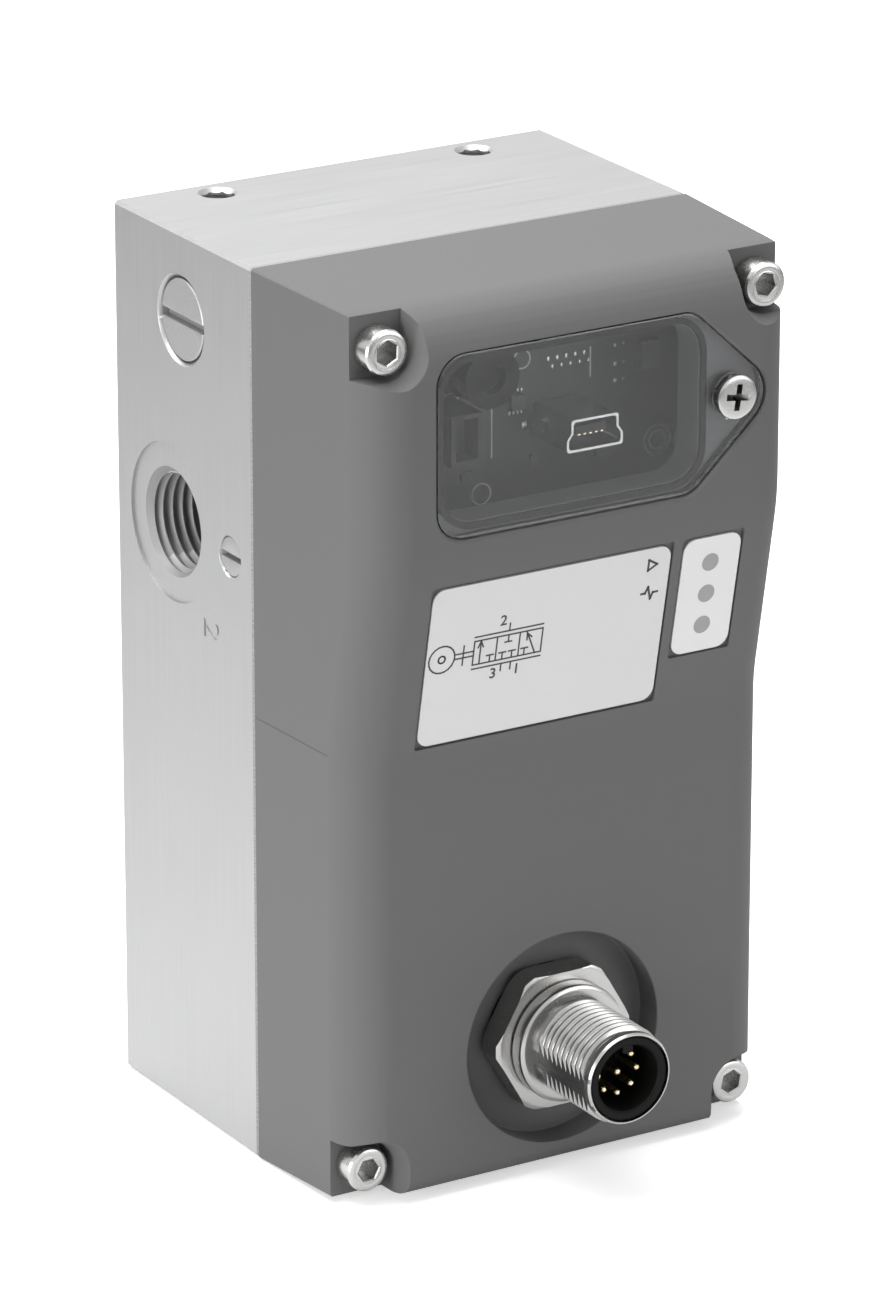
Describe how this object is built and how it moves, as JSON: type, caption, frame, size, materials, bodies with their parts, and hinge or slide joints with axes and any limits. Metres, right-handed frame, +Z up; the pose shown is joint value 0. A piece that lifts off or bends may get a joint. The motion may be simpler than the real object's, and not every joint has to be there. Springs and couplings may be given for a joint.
{
  "type": "rotary spool proportional valve",
  "caption": "Proportional air valve: metal body with threaded ports and a motor-driven rotary spool inside, and a plastic electronics cover with a clear window and a round connector.",
  "frame": {"origin": "centre of the bounding box in X and Y, at the level of the base", "axes": "+Z up along the valve body, -Y out of the electronics cover, +X to the right of someone who looks at the cover"},
  "size_m": [0.06, 0.069, 0.112],
  "materials": {
    "anodised": "fine brushed, clear anodised",
    "cover_plastic": "dark grey, lightly textured",
    "clear_plastic": "clear moulded plastic",
    "nickel": "nickel plated",
    "steel": "zinc plated or ground",
    "black_plastic": "black moulded",
    "rubber": "black",
    "board": "glass-fibre circuit board",
    "label": "satin film",
    "gold": "gold plated",
    "magnet": "bare magnet"
  },
  "bodies": {
    "housing": {"valve_body": "anodised", "motor_cap": "anodised", "access_plug": "anodised", "channel_plug": "anodised", "sleeve_spacer": "anodised", "electronics_cover": "cover_plastic", "window_lens": "clear_plastic", "light_guide": "clear_plastic", "connector_shell": "nickel", "connector_lock_nut": "nickel", "window_screw": "nickel", "service_socket": "nickel", "spool_sleeve": "steel", "lower_bearing_outer_ring": "steel", "lower_bearing_balls": "steel", "upper_bearing_outer_ring": "steel", "upper_bearing_balls": "steel", "motor_can": "steel", "pressure_sensor": "steel", "cover_screw_1": "steel", "cover_screw_2": "steel", "cover_screw_3": "steel", "cover_screw_4": "steel", "board_screw_1": "steel", "board_screw_2": "steel", "board_screw_3": "steel", "board_screw_4": "steel", "motor_end_cap": "black_plastic", "connector_insert": "black_plastic", "power_inductor": "black_plastic", "motor_header": "black_plastic", "socket_tongue": "black_plastic", "sleeve_o_ring_1": "rubber", "sleeve_o_ring_2": "rubber", "sleeve_o_ring_3": "rubber", "sleeve_o_ring_4": "rubber", "cover_gasket": "rubber", "window_gasket": "rubber", "connector_seal": "rubber", "main_board": "board", "sensor_board": "board", "type_label": "label", "light_label": "label", "contact_pin_1": "gold", "contact_pin_2": "gold", "contact_pin_3": "gold", "contact_pin_4": "gold", "contact_pin_5": "gold", "contact_pin_6": "gold", "contact_pin_7": "gold", "contact_pin_8": "gold", "motor_magnets": "magnet"},
    "rotor": {"rotary_spool": "steel", "shaft_coupling": "anodised", "motor_rotor": "steel", "magnet_holder": "black_plastic", "sensor_magnet": "magnet", "lower_bearing_inner_ring": "steel", "upper_bearing_inner_ring": "steel"}
  },
  "joints": [
    {"name": "spool_turn", "type": "hinge", "parent": "housing", "child": "rotor", "pos_m": [0, 0.0182, 0.075], "axis": [0, 0, 1], "range_deg": [-45, 45]}
  ]
}
